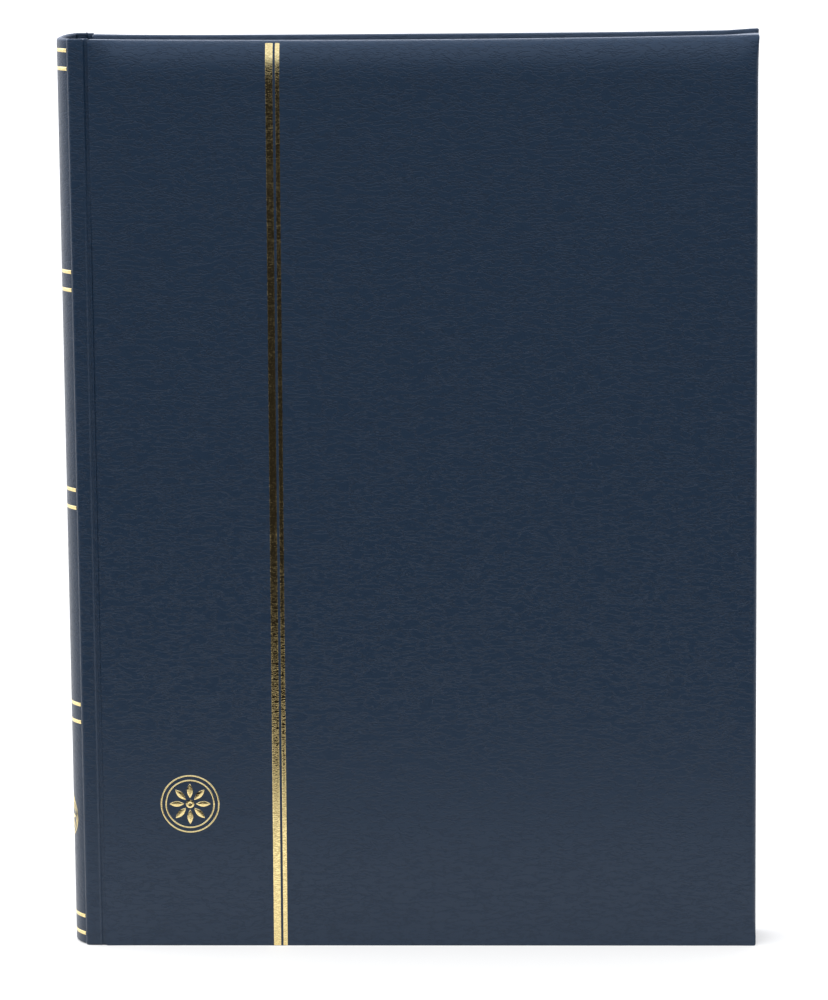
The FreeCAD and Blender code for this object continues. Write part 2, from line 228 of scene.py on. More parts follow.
def add_piece(name, shape, material, body=None, replaces=(), smooth=True):
    """A mesh object from (points, faces), with its finish, hung on its body if one is given,
    and the CAD parts it replaces hidden.
    """
    points, faces = shape
    mesh = bpy.data.meshes.new(name)
    mesh.from_pydata([tuple(point) for point in points], [], faces)
    mesh.polygons.foreach_set("use_smooth", [smooth] * len(mesh.polygons))
    mesh.materials.append(material)
    piece = bpy.data.objects.new(name, mesh)
    bpy.context.scene.collection.objects.link(piece)
    if smooth:
        mesh.set_sharp_from_angle(angle=math.radians(50))
    if body:
        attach(piece, body)
    if replaces:
        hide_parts(*replaces)
    return piece


# ------------------------------------------------------------ materials
def put(tree, kind, inputs=None, **settings):
    """A node with its settings, and its inputs linked or set."""
    made = tree.nodes.new(kind)
    for key, value in settings.items():
        setattr(made, key, value)
    for socket, value in (inputs or {}).items():
        if isinstance(value, bpy.types.NodeSocket):
            tree.links.new(value, made.inputs[socket])
        else:
            made.inputs[socket].default_value = value
    return made


def maths(tree, operation, *values):
    """The outcome of one sum on up to three values."""
    made = put(tree, "ShaderNodeMath", dict(enumerate(values)), operation=operation)
    return made.outputs[0]


def own_place(tree):
    """Where a point lies on its own object."""
    return put(tree, "ShaderNodeTexCoord").outputs["Object"]


def effect(name, inputs, outputs):
    """An empty node group with named inputs (name: default) and outputs (name: kind)."""
    tree = bpy.data.node_groups.new(name, "ShaderNodeTree")
    for socket, value in inputs.items():
        made = tree.interface.new_socket(socket, in_out="INPUT", socket_type="NodeSocketFloat")
        made.default_value = value
    for socket, kind in outputs.items():
        tree.interface.new_socket(socket, in_out="OUTPUT", socket_type=kind)
    return tree, tree.nodes.new("NodeGroupInput"), tree.nodes.new("NodeGroupOutput")


def leather_grain():
    """Pressed leather grain: short level wrinkles over a fine pebble."""
    tree, given, result = effect(
        "leather grain",
        {"Wrinkle length": 0.0044, "Wrinkle height": 0.0014, "Pebble size": 0.0006},
        {"Height": "NodeSocketFloat", "Valleys": "NodeSocketFloat"})
    place = own_place(tree)
    drift = put(tree, "ShaderNodeTexNoise", {"Vector": place, "Scale": 160.0, "Detail": 1.0})
    centred = put(tree, "ShaderNodeVectorMath",
                  {0: drift.outputs["Color"], 1: (0.5, 0.5, 0.5)}, operation="SUBTRACT")
    shifted = put(tree, "ShaderNodeVectorMath",
                  {0: centred.outputs[0], 1: (0.0022, 0.0022, 0.0022), 2: place},
                  operation="MULTIPLY_ADD")
    across = maths(tree, "DIVIDE", 1.0, given.outputs["Wrinkle length"])
    upward = maths(tree, "DIVIDE", 1.0, given.outputs["Wrinkle height"])
    stretch = put(tree, "ShaderNodeCombineXYZ", {"X": across, "Y": across, "Z": upward})
    drawn = put(tree, "ShaderNodeVectorMath", {0: shifted.outputs[0], 1: stretch.outputs[0]},
                operation="MULTIPLY")
    wrinkles = put(tree, "ShaderNodeTexNoise",
                   {"Vector": drawn.outputs[0], "Scale": 1.0, "Detail": 2.0,
                    "Roughness": 0.6, "Lacunarity": 2.1})
    level = maths(tree, "SUBTRACT", wrinkles.outputs["Fac"], 0.5)
    away = maths(tree, "ABSOLUTE", level)
    folds = put(tree, "ShaderNodeMapRange", {"Value": away, "From Min": 0.0, "From Max": 0.07},
                interpolation_type="SMOOTHSTEP")
    fine = maths(tree, "DIVIDE", 1.0, given.outputs["Pebble size"])
    pebble = put(tree, "ShaderNodeTexVoronoi",
                 {"Vector": shifted.outputs[0], "Scale": fine}, feature="SMOOTH_F1")
    pebble.inputs["Smoothness"].default_value = 0.6
    bumps = maths(tree, "SUBTRACT", 1.0, pebble.outputs["Distance"])
    height = put(tree, "ShaderNodeMix", {0: 0.35, 2: folds.outputs[0], 3: bumps},
                 data_type="FLOAT")
    # Valleys is 1 in the grain's thin creases; the leatherette and the foil use it for
    # roughness and for painted shade there.
    valleys = maths(tree, "SUBTRACT", 1.0, folds.outputs[0])
    tree.links.new(height.outputs[0], result.inputs["Height"])
    tree.links.new(valleys, result.inputs["Valleys"])
    return tree


def cloth_weave():
    """Plain weave: two sets of threads that pass over and under each other."""
    tree, given, result = effect("cloth weave", {"Thread": 0.0004},
                                 {"Height": "NodeSocketFloat", "Shade": "NodeSocketFloat"})
    place = own_place(tree)
    turns = maths(tree, "DIVIDE", math.pi, given.outputs["Thread"])
    scaled = put(tree, "ShaderNodeVectorMath", {0: place, 3: turns}, operation="SCALE")
    parts = put(tree, "ShaderNodeSeparateXYZ", {"Vector": scaled.outputs[0]})
    across = maths(tree, "ADD", parts.outputs["X"], parts.outputs["Y"])
    warp = maths(tree, "SINE", across)
    weft = maths(tree, "SINE", parts.outputs["Z"])
    crossed = maths(tree, "MULTIPLY", warp, weft)
    height = maths(tree, "MULTIPLY_ADD", crossed, 0.5, 0.5)
    slub = put(tree, "ShaderNodeTexNoise", {"Vector": place, "Scale": 900.0, "Detail": 2.0})
    # Painted shade: low where a thread dips under the other, times a random slub.
    shade = maths(tree, "MULTIPLY", height, slub.outputs["Fac"])
    tree.links.new(height, result.inputs["Height"])
    tree.links.new(shade, result.inputs["Shade"])
    return tree


def paper_fibre():
    """Soft mottling and fine fibres of pressed paper."""
    tree, given, result = effect("paper fibre", {"Fibre": 0.0012},
                                 {"Height": "NodeSocketFloat", "Cloud": "NodeSocketFloat"})
    place = own_place(tree)
    density = maths(tree, "DIVIDE", 1.0, given.outputs["Fibre"])
    fibres = put(tree, "ShaderNodeTexNoise",
                 {"Vector": place, "Scale": density, "Detail": 5.0,
                  "Roughness": 0.7, "Distortion": 1.4})
    cloud = put(tree, "ShaderNodeTexNoise", {"Vector": place, "Scale": 55.0, "Detail": 4.0})
    tree.links.new(fibres.outputs["Fac"], result.inputs["Height"])
    tree.links.new(cloud.outputs["Fac"], result.inputs["Cloud"])
    return tree


GRAIN = leather_grain()
WEAVE = cloth_weave()
FIBRE = paper_fibre()


def finish_named(name):
    """A material with only its Principled shader, and its node tree."""
    material = bpy.data.materials.new(name)
    material.use_nodes = True
    tree = material.node_tree
    return material, tree, tree.nodes["Principled BSDF"]


def worn_by(tree, group, **values):
    """An effect group placed in a material with its own values."""
    made = tree.nodes.new("ShaderNodeGroup")
    made.node_tree = group
    for socket, value in values.items():
        made.inputs[socket.replace("_", " ")].default_value = value
    return made


def two_tone(tree, shader, amount, dark, light):
    """Base colour between two colours by a value that changes over the surface: random mottle
    on papers and the floor, painted shade in the leather grain's creases and, with random
    slub, in the weave's dips.
    """
    mix = put(tree, "ShaderNodeMix", {0: amount, 6: (*dark, 1), 7: (*light, 1)},
              data_type="RGBA")
    tree.links.new(mix.outputs[2], shader.inputs["Base Color"])


def raised(tree, shader, height, depth, strength=1.0):
    """Bump of that depth, in metres, on the shader's normal."""
    bump = put(tree, "ShaderNodeBump", {"Height": height, "Distance": depth,
                                        "Strength": strength})
    tree.links.new(bump.outputs["Normal"], shader.inputs["Normal"])


def varied(tree, shader, socket, amount, low, high):
    """A shader value that runs from low to high over the surface."""
    run = put(tree, "ShaderNodeMapRange", {"Value": amount, "To Min": low, "To Max": high})
    tree.links.new(run.outputs[0], shader.inputs[socket])


def navy_leatherette():
    """Semi-matt navy leatherette, its base colour darker in the grain's creases as painted
    shade.
    """
    material, tree, shader = finish_named("navy leatherette")
    grain = worn_by(tree, GRAIN)
    # Painted shade: a darker base colour where Valleys is high, in the grain's thin creases.
    two_tone(tree, shader, grain.outputs["Valleys"], (0.0101, 0.0238, 0.0480),
             (0.0080, 0.0194, 0.0397))
    varied(tree, shader, "Roughness", grain.outputs["Valleys"], 0.29, 0.38)
    shader.inputs["Specular IOR Level"].default_value = 0.35
    raised(tree, shader, grain.outputs["Height"], 0.00012, 0.6)
    return material


def gold_foil():
    """Hot-stamped gold foil with the leather's grain showing through, its colour darker in the
    grain's creases as painted shade.
    """
    material, tree, shader = finish_named("gold foil")
    grain = worn_by(tree, GRAIN, Wrinkle_length=0.0022, Wrinkle_height=0.0006)
    # Painted shade: a darker gold where Valleys is high, in the grain's creases.
    two_tone(tree, shader, grain.outputs["Valleys"], (0.90, 0.735, 0.355),
             (0.76, 0.58, 0.26))
    shader.inputs["Metallic"].default_value = 1.0
    varied(tree, shader, "Roughness", grain.outputs["Valleys"], 0.05, 0.12)
    raised(tree, shader, grain.outputs["Height"], 0.00003, 0.5)
    return material


def paper_like(name, dark, light, rough, fibre=0.0012, depth=0.00003):
    """A paper, card or board with its mottling and fibres."""
    material, tree, shader = finish_named(name)
    paper = worn_by(tree, FIBRE, Fibre=fibre)
    two_tone(tree, shader, paper.outputs["Cloud"], dark, light)
    varied(tree, shader, "Roughness", paper.outputs["Height"], rough - 0.08, rough + 0.08)
    raised(tree, shader, paper.outputs["Height"], depth)
    return material, tree, shader


def cloth_like(name, dark, light, rough, thread):
    """A woven cloth, darker where its threads dip under as painted shade, with random slub."""
    material, tree, shader = finish_named(name)
    weave = worn_by(tree, WEAVE, Thread=thread)
    # Painted shade from the weave's dips, with its random slub.
    two_tone(tree, shader, weave.outputs["Shade"], dark, light)
    varied(tree, shader, "Roughness", weave.outputs["Shade"], rough, rough - 0.1)
    raised(tree, shader, weave.outputs["Height"], 0.00008)
    return material


def clear_strip_film():
    """Clear film of the pocket strips, with its soft handling marks."""
    material, _, shader = paper_like("clear strip film", (0.80, 0.83, 0.86),
                                     (0.95, 0.97, 1.0), 0.12, 0.004, 0.00001)
    shader.inputs["Alpha"].default_value = 0.25
    shader.inputs["Specular IOR Level"].default_value = 0.8
    return material


def glassine():
    """Translucent glassine of the interleaves."""
    material, _, shader = paper_like("glassine", (0.78, 0.80, 0.76), (0.90, 0.91, 0.87),
                                     0.38, 0.0025, 0.00002)
    shader.inputs["Alpha"].default_value = 0.62
    return material


LEATHERETTE = navy_leatherette()
GOLD = gold_foil()
FOAM = paper_like("padding foam", (0.50, 0.50, 0.48), (0.62, 0.62, 0.60), 0.9, 0.0006,
                  0.0002)[0]
GREYBOARD = paper_like("grey board", (0.20, 0.19, 0.17), (0.32, 0.30, 0.27), 0.85, 0.0016,
                       0.00008)[0]
ENDPAPER = paper_like("endpaper", (0.62, 0.60, 0.55), (0.74, 0.72, 0.67), 0.75)[0]
ALBUM_CARD = paper_like("black album card", (0.008, 0.008, 0.009), (0.016, 0.016, 0.017),
                        0.62, 0.0010, 0.00003)[0]
CLEAR_FILM = clear_strip_film()
GLASSINE = glassine()
HINGE_CLOTH = cloth_like("hinge cloth", (0.012, 0.018, 0.032), (0.03, 0.042, 0.068), 0.85,
                         0.00035)
LINEN = cloth_like("leaf linen", (0.010, 0.010, 0.011), (0.030, 0.030, 0.032), 0.9, 0.0004)
GAUZE = cloth_like("lining gauze", (0.42, 0.40, 0.35), (0.70, 0.68, 0.62), 0.9, 0.0007)


# ------------------------------------------------------------ surface of a padded cover
def ripple(x, z):
    """Slow unevenness of the padding."""
    wave = (np.sin(x * 71 + z * 23 + 0.6) + np.sin(z * 58 - x * 34 + 2.1)
            + 0.6 * np.sin(x * 139 + z * 87) + 0.5 * np.sin(z * 171 - x * 96 + 1.3))
    return RIPPLE * wave / 3.1


def rounding(inset):
    """Share of the padding's height at a distance in from the edge."""
    near = np.clip(1 - np.asarray(inset) / PAD_REACH, 0, 1)
    return (1 - near ** PAD_SOFTNESS) ** (1 / PAD_SOFTNESS)


def ease(value):
    """0 to 1 without a corner at either end."""
    value = np.clip(value, 0, 1)
    return value * value * (3 - 2 * value)


def up_head(z):
    """0 below the uneven zone at the head, 1 at the head itself."""
    return np.clip((z / HEIGHT - (1 - HEAD_ZONE)) / HEAD_ZONE, 0, 1)


def head_shift(x, z, side):
    """How far the head edge stands above its even line.

    The folded corners are thicker than the middle. The front cover's head hangs a
    little hollow between them, and the back cover's corners stand up.
    """
    along = (x - 5 * MM) / (110 * MM)
    near_head = up_head(z) ** 2
    if side == FRONT:
        return (0.9 * along ** 2 - 1.25) * MM * near_head
    return (0.55 * along ** 4 - 0.05) * MM * near_head


def pressed(distance, x, z, face_y=FACE_Y):
    """The padding flattened at the hinge, the fore-edge and the foot it stands on."""
    at_foot = FOOT_PRESS * (1 - ease(z / FOOT_FADE))
    least = 1 - HINGE_PRESS
    at_hinge = 1 - least * (0.25 + 0.75 * np.clip(z / HEIGHT, 0, 1))
    at_hinge = at_hinge * (1 - ease((x - HINGE_EDGE) / HINGE_FADE))
    at_fore = FORE_PRESS * (1 - ease((FORE_EDGE - x) / FORE_FADE))
    return face_y - (face_y - distance) * (1 - at_foot) * (1 - at_hinge) * (1 - at_fore)


def cover_surface(x, z):
    """Distance of a cover's outer face from the middle of the album, away from corners."""
    share = np.where(z < HEIGHT / 2, rounding(z / FOOT_REACH), rounding(HEIGHT - z))
    distance = pressed(EDGE_Y + (FACE_Y - EDGE_Y) * share, x, z)
    return distance + ripple(x, z) * share ** 4


def side_of_ring(half_along, half_across, radius, fractions):
    """One side of a rounded rectangle, from corner middle to corner middle."""
    straight = 2 * (half_along - radius)
    run = fractions * (straight + math.pi * radius / 2) - math.pi * radius / 4
    level = np.clip(run, 0, straight)
    angle = (run - level) / radius
    along = -(half_along - radius) + level + radius * np.sin(angle)
    return along, half_across - radius + radius * np.cos(angle)


def ring(box, radius, across, upward):
    """A rounded rectangle (x0, x1, z0, z1), anticlockwise from its lower left corner."""
    x0, x1, z0, z1 = box
    middle_x, middle_z = (x0 + x1) / 2, (z0 + z1) / 2
    half_x, half_z = (x1 - x0) / 2, (z1 - z0) / 2
    flat, out = side_of_ring(half_x, half_z, radius, across[:-1])
    foot = np.stack([middle_x + flat, middle_z - out], axis=1)
    head = np.stack([middle_x - flat, middle_z + out], axis=1)
    tall, out = side_of_ring(half_z, half_x, radius, upward[:-1])
    right = np.stack([middle_x + out, middle_z + tall], axis=1)
    left = np.stack([middle_x - out, middle_z - tall], axis=1)
    return np.vstack([foot, right, head, left])


def filled(outline, across, upward):
    """A grid of points stretched inside a ring, and the ring's places in that grid."""
    columns, rows = len(across) - 1, len(upward) - 1
    foot = outline[:columns + 1]
    right = outline[columns:columns + rows + 1]
    head = outline[columns + rows:2 * columns + rows + 1][::-1]
    left = np.vstack([outline[2 * columns + rows:], outline[:1]])[::-1]
    u = across[:, None, None]
    v = upward[None, :, None]
    corners = ((1 - u) * (1 - v) * foot[0] + u * (1 - v) * foot[-1]
               + (1 - u) * v * head[0] + u * v * head[-1])
    grid = ((1 - v) * foot[:, None] + v * head[:, None] + (1 - u) * left[None, :]
            + u * right[None, :] - corners)
    number = np.arange((columns + 1) * (rows + 1)).reshape(columns + 1, rows + 1)
    border = np.concatenate([number[:-1, 0], number[-1, :-1], number[:0:-1, -1],
                             number[0, :0:-1]])
    return grid.reshape(-1, 2), list(border)


def padded_panel(box, profile, across, upward):
    """A face filled inside the first ring of the profile, and rings down its edge.

    The profile lists (left, right, foot and head insets, distance from the middle,
    corner radius). The padded part of it is slightly uneven.
    """
    x0, x1, z0, z1 = box
    rings = [ring((x0 + left, x1 - right, z0 + foot, z1 - head), radius, across, upward)
             for (left, right, foot, head), _, radius in profile]
    face_y = profile[0][1]

    def placed(flat, distance):
        x, z = flat[:, 0], flat[:, 1]
        share = (distance - EDGE_Y) / (face_y - EDGE_Y)
        if share >= -1e-9:
            depth = pressed(distance, x, z, face_y) + ripple(x, z) * max(share, 0) ** 4
        else:
            depth = np.full(len(x), distance)
        return np.stack([x, -depth, z], axis=1)

    flat, last = filled(rings[0], across, upward)
    points = [placed(flat, face_y)]
    faces = [tuple(reversed(face)) for face in grid_faces(len(across), len(upward))]
    count = len(flat)
    for outline, (_, distance, _) in zip(rings[1:], profile[1:]):
        points.append(placed(outline, distance))
        new = list(range(count, count + len(outline)))
        for a, b, c, d in zip(last, last[1:] + last[:1], new[1:] + new[:1], new):
            faces.append((a, d, c, b))
        last = new
        count += len(outline)
    return np.vstack(points), faces, last


def pad_profile(edge_y, face_y, reach, inset=0.0, steps=12):
    """Rings of the soft rounding, from the face out to the upright edge."""
    rings = []
    for step in range(steps + 1):
        turn = math.pi / 2 * (1 - step / steps)
        along = 1 - math.cos(turn) ** (2 / PAD_SOFTNESS)
        up = math.sin(turn) ** (2 / PAD_SOFTNESS)
        d = reach * along
        insets = (inset + HINGE_REACH * d, inset + FORE_REACH * d,
                  inset + FOOT_REACH * d, inset + d)
        rings.append((insets, edge_y + (face_y - edge_y) * up, CORNER_RADIUS + 0.2 * d))
    return rings


ACROSS = crowded(84)
UPWARD = crowded(112)
COVER_BOX = (HINGE_EDGE, FORE_EDGE, 0.0, HEIGHT)


def settle_head(points, side):
    """The points moved with the cover's uneven head edge and its folded corner."""
    x, distance, z = points[:, 0], -points[:, 1], points[:, 2]
    corner = up_head(z) ** 3
    corner = corner * ease((x - FORE_EDGE + CORNER_ZONE) / CORNER_ZONE)
    folded = corner * ease((FOLD_Y - distance) / FOLD_FADE)
    lifted = head_shift(x, z, side) + FOLD_RISE * folded
    spread = CORNER_SPREAD if side == BACK else FRONT_SPREAD * CORNER_SPREAD
    points[:, 0] += spread * corner
    points[:, 2] += lifted
    return points


def cover_leather(side):
    """Leatherette of one cover: over the padding, round the edges and turned in."""
    profile = pad_profile(EDGE_Y, FACE_Y, PAD_REACH)
    roll = [(0.0, 6.3), (0.12, 5.75), (0.6, 5.3), (3.0, 5.3), (TURN_IN / MM, 5.3)]
    roll = [(inset * MM, distance * MM) for inset, distance in roll]
    for inset, distance in roll:
        free = max(CORNER_RADIUS - inset, 0.3 * MM)
        profile.append(((min(inset, 0.6 * MM), inset, inset, inset), distance, free))
    points, faces, _ = padded_panel(COVER_BOX, profile, ACROSS, UPWARD)
    points = mirrored(settle_head(points, side), side)
    return thicken(points, faces, LEATHER_THICK, (0, side, 0))


def cover_pad(side):
    """Foam under the leatherette, crowned at its edges and flat on the board."""
    gap = LEATHER_THICK + 1.3 * MM
    profile = pad_profile(BOARD_FACE_Y + 0.1 * MM, FACE_Y - LEATHER_THICK - 0.15 * MM,
                          PAD_REACH, inset=gap)
    profile.append(((gap, gap, gap, gap), BOARD_FACE_Y + 0.01 * MM, CORNER_RADIUS))
    points, faces, last = padded_panel(COVER_BOX, profile, crowded(42), crowded(56))
    faces.append(tuple(reversed(last)))
    points = mirrored(settle_head(points, side), side)
    return points, facing_out(points, faces)


def cover_board(side):
    """Greyboard of one cover, cut to the same head edge as its leather."""
    gap = LEATHER_THICK
    outline = ring((HINGE_EDGE + gap, FORE_EDGE - gap, gap, HEIGHT - gap), BOARD_CORNER,
                   crowded(40), crowded(50))
    levels = [(BOARD_FACE_Y, BOARD_SOFT), (BOARD_FACE_Y - BOARD_SOFT, 0.0),
              (BOARD_BACK_Y + BOARD_SOFT, 0.0), (BOARD_BACK_Y, BOARD_SOFT)]
    middle = (outline.min(axis=0) + outline.max(axis=0)) / 2
    half = (outline.max(axis=0) - outline.min(axis=0)) / 2
    points = []
    for distance, inset in levels:
        flat = middle + (outline - middle) * (1 - inset / half)
        points += [(x, -distance, z) for x, z in flat]
    size = len(outline)
    points = mirrored(settle_head(np.array(points), side), side)
    return points, facing_out(points, tube_faces(len(levels), size, capped=True))


def facing_out(points, faces):
    """Faces of a closed shape, turned over if its volume comes out negative."""
    volume = 0.0
    for face in faces:
        first = points[face[0]]
        for b, c in zip(face[1:-1], face[2:]):
            volume += float(np.dot(first, np.cross(points[b], points[c])))
    if volume < 0:
        return [tuple(reversed(face)) for face in faces]
    return faces


def build_covers():
    """Leatherette, padding and board of both covers."""
    for word, side in (("front", FRONT), ("back", BACK)):
        body = f"{word}_cover"
        pad = add_piece(f"{word}_foam", cover_pad(side), FOAM, body,
                        [f"{word}_padding"])
        board = add_piece(f"{word}_greyboard", cover_board(side), GREYBOARD,
                          body, [f"{word}_board"])
        leather = add_piece(f"{word}_leather", cover_leather(side), LEATHERETTE,
                            body, [f"{word}_covering"])


# ------------------------------------------------------------ spine and joints
def around_spine(radius, angle):
    """A point on a circle about the spine's centre, an angle away from its outermost."""
    return SPINE_CENTRE_X - radius * math.cos(angle), radius * math.sin(angle)


def folded_ends(thick, depth, height, round_steps=6):
    """(inset from the outer surface, z) up a leather that is turned in at head and foot."""
    radius = thick / 2
    head = [(radius - radius * math.cos(turn), height - radius + radius * math.sin(turn))
            for turn in np.linspace(0, math.pi, 2 * round_steps + 1)]
    head.append((thick, height - depth))
    foot = [(inset, height - z) for inset, z in reversed(head)]
    middle = [(0.0, z) for z in np.linspace(radius, height - radius, 60)[1:-1]]
    return foot + middle + head


def lift_head(points):
    """The head of the spine, which stands a little higher towards the back cover."""
    near_head = np.clip((points[:, 2] / HEIGHT - 0.9) / 0.1, 0, 1) ** 2
    points[:, 2] += HEAD_LIFT * ease(points[:, 1] / CREASE_Y) * near_head
    return points


def spine_leather():
    """Leatherette round the spine, turned in over the stiffener at head and foot."""
    thick = 2 * LEATHER_THICK + STIFFENER_THICK
    rows = folded_ends(thick, TURN_IN, HEIGHT)
    angles = np.linspace(-SPINE_HALF_ANGLE, SPINE_HALF_ANGLE, 41)
    points = []
    for inset, z in rows:
        for angle in angles:
            x, y = around_spine(SPINE_RADIUS - inset, angle)
            points.append((x, y, z))
    faces = grid_faces(len(rows), len(angles))
    return thicken(lift_head(np.array(points)), faces, LEATHER_THICK, (-1, 0, 0))


def cut_corners(path, times=3):
    """A path of straight runs with its corners cut away again and again."""
    path = [np.array(point, float) for point in path]
    for _ in range(times):
        cut = [path[0]]
        for a, b in zip(path, path[1:]):
            cut += [0.75 * a + 0.25 * b, 0.25 * a + 0.75 * b]
        path = cut + [path[-1]]
    return np.array(path)


def joint_line():
    """Outer line of the front joint in plan, from the spine's crease to the cover."""
    flat_y = -joint_low.y
    floor_y = flat_y - GROOVE_DEPTH
    shoulder = [(CREASE_X, CREASE_Y), (CREASE_X + 0.35 * MM, flat_y - 0.4 * MM),
                (CREASE_X + 1.6 * MM, flat_y)]
    groove = [(HINGE_EDGE - 2.0 * MM, flat_y), (HINGE_EDGE - 1.3 * MM, flat_y - 0.2 * MM),
              (HINGE_EDGE - 0.9 * MM, floor_y), (HINGE_EDGE - 0.5 * MM, floor_y),
              (HINGE_EDGE + 0.1 * MM, floor_y + 0.15 * MM)]
    return cut_corners(shoulder + groove)


def groove_shift(x, z):
    """How much less deep the groove is towards the foot, as a move outwards."""
    start, run = GROOVE_FADE
    in_groove = ease((x - HINGE_EDGE) / GROOVE_RAMP + GROOVE_START)
    low_down = 1 - ease((z / HEIGHT - start) / run)
    return GROOVE_LOST * GROOVE_DEPTH * in_groove * low_down


def inward_of(line, distance):
    """A plan line moved towards the inside of the album."""
    run = np.gradient(line, axis=0)
    run /= np.linalg.norm(run, axis=1, keepdims=True)
    return line + distance * np.stack([run[:, 1], -run[:, 0]], axis=1)


def joint_leather(side):
    """The grooved leatherette strip between the spine and a cover."""
    line = joint_line()
    thick = 2 * LEATHER_THICK + PASTE_GAP
    rows = folded_ends(thick, JOINT_TURN_IN, HEIGHT, round_steps=4)
    points = []
    for inset, z in rows:
        for x, y in inward_of(line, inset):
            points.append((x, -y - groove_shift(x, z), z))
    points = lift_head(mirrored(points, side))
    faces = grid_faces(len(rows), len(line))
    points, faces = thicken(points, faces, LEATHER_THICK, (0, side, 0))
    points[:, 2] = np.maximum(points[:, 2], 0)
    return points, faces


def hinge_cloth(side):
    """Cloth behind the joint, from the crease round to the inner face of the cover."""
    line = inward_of(joint_line(), LEATHER_THICK + PASTE_GAP)
    wall_x = HINGE_EDGE - 0.02 * MM
    line = line[line[:, 0] < wall_x - 0.1 * MM]
    lap_y = INNER_Y - 0.02 * MM
    corner = [(wall_x, line[-1][1]), (wall_x, lap_y + 0.4 * MM), (wall_x + 0.3 * MM, lap_y)]
    lap = [(x, lap_y) for x in np.linspace(HINGE_EDGE + 1 * MM, HINGE_EDGE + LINER_LAP, 6)]
    line = np.vstack([line, corner, lap])
    levels = np.linspace(LINER_MARGIN, HEIGHT - LINER_MARGIN, 60)
    points = [(x, -y, z) for z in levels for x, y in line]
    points = mirrored(points, side)
    faces = grid_faces(len(levels), len(line))
    return thicken(points, faces, CLOTH_THICK, (0, side, 0))


def build_spine():
    """Spine, joints and hinge cloths."""
    leather = add_piece("spine_leather", spine_leather(), LEATHERETTE,
                        "spine", ["spine_covering"])
    for word, side in (("front", FRONT), ("back", BACK)):
        strip = add_piece(f"{word}_joint_leather", joint_leather(side), LEATHERETTE,
                          replaces=[f"{word}_joint"])
        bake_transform(strip)
        line = joint_line()
        cloth = add_piece(f"{word}_hinge_cloth", hinge_cloth(side), HINGE_CLOTH,
                          replaces=[f"{word}_joint_liner"])
        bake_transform(cloth)


# ------------------------------------------------------------ gold foil
def foil_sheet(flat, faces, lift, outward):
    """Foil from (points on the surface, outward normals) and a lift for each point."""
    points, normals = flat
    return thicken(points + normals * lift[:, None], faces, FOIL_THICK, outward)


def on_front(x, z):
    """Points and outward normals of the front cover's face."""
    step = 0.05 * MM

    def at(x, z):
        return np.stack([x, -cover_surface(x, z), z + head_shift(x, z, FRONT)], axis=1)

    points = at(x, z)
    across = at(x + step, z) - at(x - step, z)
    upward = at(x, z + step) - at(x, z - step)
    normals = np.cross(across, upward)
    return points, normals / np.linalg.norm(normals, axis=1, keepdims=True)


def stripe(low_x, width):
    """One upright stripe over the head and foot roundings, its long edges rolled down."""
    ends = [1 - math.cos(turn) ** (2 / PAD_SOFTNESS)
            for turn in np.linspace(math.radians(22), math.pi / 2, 18)]
    foot = [PAD_REACH * FOOT_REACH * share + 0.1 * MM for share in ends]
    head = [HEIGHT - PAD_REACH * share for share in reversed(ends)]
    levels = np.concatenate([foot, np.linspace(foot[-1], head[0], 240)[1:-1], head])
    steps = np.array([0, STRIPE_ROLL, 2 * STRIPE_ROLL, width / 2, width - 2 * STRIPE_ROLL,
                      width - STRIPE_ROLL, width])
    lifts = np.array([FOIL_SUNK, 0.7 * FOIL_PROUD, FOIL_PROUD, FOIL_PROUD, FOIL_PROUD,
                      0.7 * FOIL_PROUD, FOIL_SUNK])
    z = np.repeat(levels, len(steps))
    x = np.tile(low_x + steps, len(levels)) + STRIPE_LEAN * (z / HEIGHT - 0.5)
    lift = np.tile(lifts, len(levels))
    faces = grid_faces(len(levels), len(steps))
    return foil_sheet(on_front(x, z), faces, lift, (0, -1, 0))


def disc_parts(diameter):
    """A rosette about the origin: (points in its plane, faces, share of the lift)."""
    radius = diameter / 2
    line = RING_LINE * radius
    parts = []

    def band(outer, inner):
        turns = np.linspace(0, 2 * math.pi, 97)[:-1]
        middle = (outer + inner) / 2
        rows = [(outer, 0.0), (middle + line / 4, 1.0), (middle - line / 4, 1.0), (inner, 0.0)]
        flat = [(r * math.cos(turn), r * math.sin(turn)) for r, _ in rows for turn in turns]
        lift = [share for _, share in rows for _ in turns]
        parts.append((np.array(flat), tube_faces(len(rows), len(turns)), np.array(lift)))

    def petal(turn):
        root, tip = PETAL_ROOT * radius, PETAL_TIP * radius
        half = PETAL_HALF_WIDTH * radius
        flat, lift = [], []
        for share in np.linspace(0, 1, 15):
            width = half * math.sin(math.pi * share) + 0.004 * radius
            for across in (-1, -0.6, 0, 0.6, 1):
                flat.append((root + (tip - root) * share, across * width))
                lift.append(0.0 if abs(across) == 1 or share in (0, 1) else 1.0)
        flat = np.array(flat)
        turned = np.stack([flat[:, 0] * math.cos(turn) - flat[:, 1] * math.sin(turn),
                           flat[:, 0] * math.sin(turn) + flat[:, 1] * math.cos(turn)], axis=1)
        parts.append((turned, grid_faces(15, 5), np.array(lift)))

    band(radius, radius - line)
    band(INNER_RING * radius, INNER_RING * radius - line)
    for step in range(PETAL_COUNT):
        petal(2 * math.pi * step / PETAL_COUNT)
    band(PETAL_ROOT * radius - line, 0.02 * radius)
    return parts


def front_emblem():
    """The rosette on the front cover."""
    low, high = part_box("front_emblem")
    middle = (low + high) / 2
    shapes = []
    for flat, faces, share in disc_parts(high.x - low.x):
        surface = on_front(middle.x + flat[:, 0], middle.z + flat[:, 1])
        lift = FOIL_SUNK + share * (FOIL_PROUD - FOIL_SUNK)
        shapes.append(foil_sheet(surface, faces, lift, (0, -1, 0)))
    return gathered(shapes)


